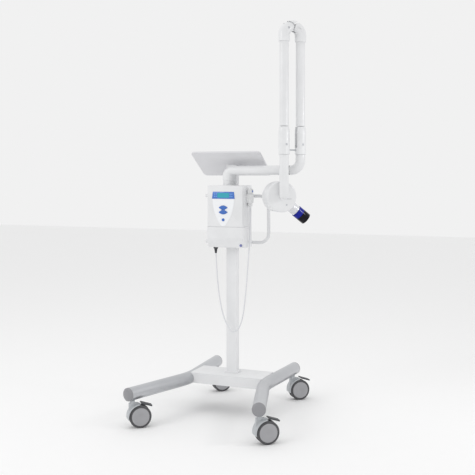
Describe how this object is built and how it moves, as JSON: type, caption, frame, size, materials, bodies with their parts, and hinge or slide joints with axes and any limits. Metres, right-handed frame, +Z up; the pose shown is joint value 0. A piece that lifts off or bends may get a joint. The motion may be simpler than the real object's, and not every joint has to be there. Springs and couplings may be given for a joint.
{
  "type": "intraoral x-ray unit",
  "caption": "Mobile dental x-ray unit: wheeled base, column with control box and tray, swinging scissor arm and tilting tube head with a short cone.",
  "frame": {"origin": "on the floor, under the centre of the unit's bounding box, with the arm parked", "axes": "+Z up, the control panel faces -Y, the swing arm reaches along +X"},
  "size_m": [0.7341, 0.8247, 1.845],
  "materials": {
    "white_paint": "satin powder coat",
    "white_plastic": "satin moulded",
    "silver_paint": "satin silver",
    "grey_plastic": "moulded",
    "dark_plastic": "moulded",
    "tyre_rubber": "matt tread and grey hub",
    "tray_plastic": "satin",
    "steel": "turned",
    "iron": "rough",
    "copper": "wound coil and core",
    "blue_plastic": "moulded",
    "screen": "clear window over a display",
    "tube_glass": "vacuum tube",
    "clear_collar": "translucent",
    "cone_blue": "glossy",
    "cone_black": "glossy",
    "cord_jacket": "smooth"
  },
  "bodies": {
    "stand": {"left_base_tube": "silver_paint", "right_base_tube": "silver_paint", "front_left_end_cap": "dark_plastic", "back_left_end_cap": "dark_plastic", "front_right_end_cap": "dark_plastic", "back_right_end_cap": "dark_plastic", "base_cover": "white_paint", "ballast_block": "iron", "column": "white_paint", "tray": "tray_plastic", "handle": "white_paint", "handle_clamp": "dark_plastic", "rear_chassis": "white_plastic", "upper_cover": "white_plastic", "lower_cover": "white_plastic", "display_window": "screen", "keypad_overlay": "white_plastic", "transformer": "copper", "riser_post": "white_paint", "handset_holder": "white_plastic", "cable_gland": "dark_plastic", "handset_cord": "cord_jacket"},
    "front_left_caster": {"front_left_caster_hood": "grey_plastic"},
    "front_left_wheels": {"front_left_caster_wheels": "tyre_rubber"},
    "front_left_brake": {"front_left_brake_pedal": "dark_plastic"},
    "back_left_caster": {"back_left_caster_hood": "grey_plastic"},
    "back_left_wheels": {"back_left_caster_wheels": "tyre_rubber"},
    "back_left_brake": {"back_left_brake_pedal": "dark_plastic"},
    "front_right_caster": {"front_right_caster_hood": "grey_plastic"},
    "front_right_wheels": {"front_right_caster_wheels": "tyre_rubber"},
    "front_right_brake": {"front_right_brake_pedal": "dark_plastic"},
    "back_right_caster": {"back_right_caster_hood": "grey_plastic"},
    "back_right_wheels": {"back_right_caster_wheels": "tyre_rubber"},
    "back_right_brake": {"back_right_brake_pedal": "dark_plastic"},
    "swing_arm": {"horizontal_arm": "white_plastic", "elbow_ring": "dark_plastic", "elbow_post": "white_plastic"},
    "lower_turret": {"lower_sleeve": "white_plastic", "lower_sleeve_pin": "steel", "park_bumper": "dark_plastic"},
    "lower_arm": {"lower_arm_tube": "white_plastic"},
    "knuckle": {"knuckle": "white_plastic", "lower_knee_pin": "steel", "upper_knee_pin": "steel"},
    "upper_arm": {"upper_arm_tube": "white_plastic"},
    "neck_turret": {"neck_sleeve": "white_plastic", "neck_sleeve_pin": "steel"},
    "neck": {"neck": "white_plastic"},
    "head": {"head_front_cover": "white_plastic", "head_rear_shell": "white_plastic", "xray_tube": "tube_glass", "beam_collar": "clear_collar", "cone_base": "cone_blue", "cone_tip": "cone_black"},
    "up_button": {"up_button": "blue_plastic"},
    "down_button": {"down_button": "blue_plastic"},
    "ready_button": {"ready_button": "blue_plastic"},
    "mains_switch": {"mains_switch": "blue_plastic"},
    "handset": {"handset": "white_plastic"},
    "exposure_button": {"exposure_button": "blue_plastic"}
  },
  "joints": [
    {"name": "front_left_caster_swivel", "type": "hinge", "parent": "stand", "child": "front_left_caster", "pos_m": [-0.33115, -0.37182, 0.115], "axis": [0, 0, 1], "continuous": true},
    {"name": "front_left_wheel_spin", "type": "hinge", "parent": "front_left_caster", "child": "front_left_wheels", "pos_m": [-0.30511, -0.34997, 0.05], "axis": [-0.6428, 0.766, 0], "continuous": true},
    {"name": "front_left_brake_press", "type": "hinge", "parent": "front_left_caster", "child": "front_left_brake", "pos_m": [-0.30281, -0.34804, 0.109], "axis": [-0.6428, 0.766, 0], "range_deg": [0, 8]},
    {"name": "back_left_caster_swivel", "type": "hinge", "parent": "stand", "child": "back_left_caster", "pos_m": [-0.24022, 0.34426, 0.115], "axis": [0, 0, 1], "continuous": true},
    {"name": "back_left_wheel_spin", "type": "hinge", "parent": "back_left_caster", "child": "back_left_wheels", "pos_m": [-0.21418, 0.36612, 0.05], "axis": [-0.6428, 0.766, 0], "continuous": true},
    {"name": "back_left_brake_press", "type": "hinge", "parent": "back_left_caster", "child": "back_left_brake", "pos_m": [-0.21188, 0.36804, 0.109], "axis": [-0.6428, 0.766, 0], "range_deg": [0, 8]},
    {"name": "front_right_caster_swivel", "type": "hinge", "parent": "stand", "child": "front_right_caster", "pos_m": [0.27854, -0.37182, 0.115], "axis": [0, 0, 1], "continuous": true},
    {"name": "front_right_wheel_spin", "type": "hinge", "parent": "front_right_caster", "child": "front_right_wheels", "pos_m": [0.30459, -0.34997, 0.05], "axis": [-0.6428, 0.766, 0], "continuous": true},
    {"name": "front_right_brake_press", "type": "hinge", "parent": "front_right_caster", "child": "front_right_brake", "pos_m": [0.30688, -0.34804, 0.109], "axis": [-0.6428, 0.766, 0], "range_deg": [0, 8]},
    {"name": "back_right_caster_swivel", "type": "hinge", "parent": "stand", "child": "back_right_caster", "pos_m": [0.18761, 0.34426, 0.115], "axis": [0, 0, 1], "continuous": true},
    {"name": "back_right_wheel_spin", "type": "hinge", "parent": "back_right_caster", "child": "back_right_wheels", "pos_m": [0.21366, 0.36612, 0.05], "axis": [-0.6428, 0.766, 0], "continuous": true},
    {"name": "back_right_brake_press", "type": "hinge", "parent": "back_right_caster", "child": "back_right_brake", "pos_m": [0.21595, 0.36804, 0.109], "axis": [-0.6428, 0.766, 0], "range_deg": [0, 8]},
    {"name": "arm_swing", "type": "hinge", "parent": "stand", "child": "swing_arm", "pos_m": [-0.02631, 0.00321, 1.1092], "axis": [0, 0, 1], "range_deg": [-195, 15]},
    {"name": "scissor_swivel", "type": "hinge", "parent": "swing_arm", "child": "lower_turret", "pos_m": [0.33969, 0.00321, 1.2295], "axis": [0, 0, 1], "range_deg": [-10, 200]},
    {"name": "lower_arm_tilt", "type": "hinge", "parent": "lower_turret", "child": "lower_arm", "pos_m": [0.33969, 0.00321, 1.275], "axis": [0.7071, -0.7071, 0], "range_deg": [0, 60]},
    {"name": "knuckle_level", "type": "hinge", "parent": "lower_arm", "child": "knuckle", "pos_m": [0.33099, -0.00549, 1.8062], "axis": [0.7071, -0.7071, 0], "range_deg": [-60, 0]},
    {"name": "upper_arm_tilt", "type": "hinge", "parent": "knuckle", "child": "upper_arm", "pos_m": [0.289, -0.04749, 1.8062], "axis": [-0.7071, 0.7071, 0], "range_deg": [0, 90]},
    {"name": "neck_level", "type": "hinge", "parent": "upper_arm", "child": "neck_turret", "pos_m": [0.2803, -0.05619, 1.275], "axis": [-0.7071, 0.7071, 0], "range_deg": [-90, 0]},
    {"name": "neck_swivel", "type": "hinge", "parent": "neck_turret", "child": "neck", "pos_m": [0.2803, -0.05619, 1.2295], "axis": [0, 0, 1], "range_deg": [-150, 150]},
    {"name": "head_tilt", "type": "hinge", "parent": "neck", "child": "head", "pos_m": [0.2803, -0.05619, 1.035], "axis": [0.6428, -0.766, 0], "range_deg": [-50, 60]},
    {"name": "up_press", "type": "slide", "parent": "stand", "child": "up_button", "axis": [0, 1, 0], "range_m": [0, 0.002], "stiffness_N_per_m": 200},
    {"name": "down_press", "type": "slide", "parent": "stand", "child": "down_button", "axis": [0, 1, 0], "range_m": [0, 0.002], "stiffness_N_per_m": 200},
    {"name": "ready_press", "type": "slide", "parent": "stand", "child": "ready_button", "axis": [0, 1, 0], "range_m": [0, 0.002], "stiffness_N_per_m": 200},
    {"name": "mains_press", "type": "slide", "parent": "stand", "child": "mains_switch", "axis": [0, 0.9212, 0.389], "range_m": [0, 0.003], "stiffness_N_per_m": 200},
    {"name": "handset_lift", "type": "slide", "parent": "stand", "child": "handset", "axis": [0, 0, 1], "range_m": [0, 0.06]},
    {"name": "exposure_press", "type": "slide", "parent": "handset", "child": "exposure_button", "axis": [-1, 0, 0], "range_m": [0, 0.002], "stiffness_N_per_m": 200}
  ],
  "couplings": [
    {"joint": "knuckle_level", "follows": "lower_arm_tilt", "ratio": -1},
    {"joint": "neck_level", "follows": "upper_arm_tilt", "ratio": -1}
  ]
}
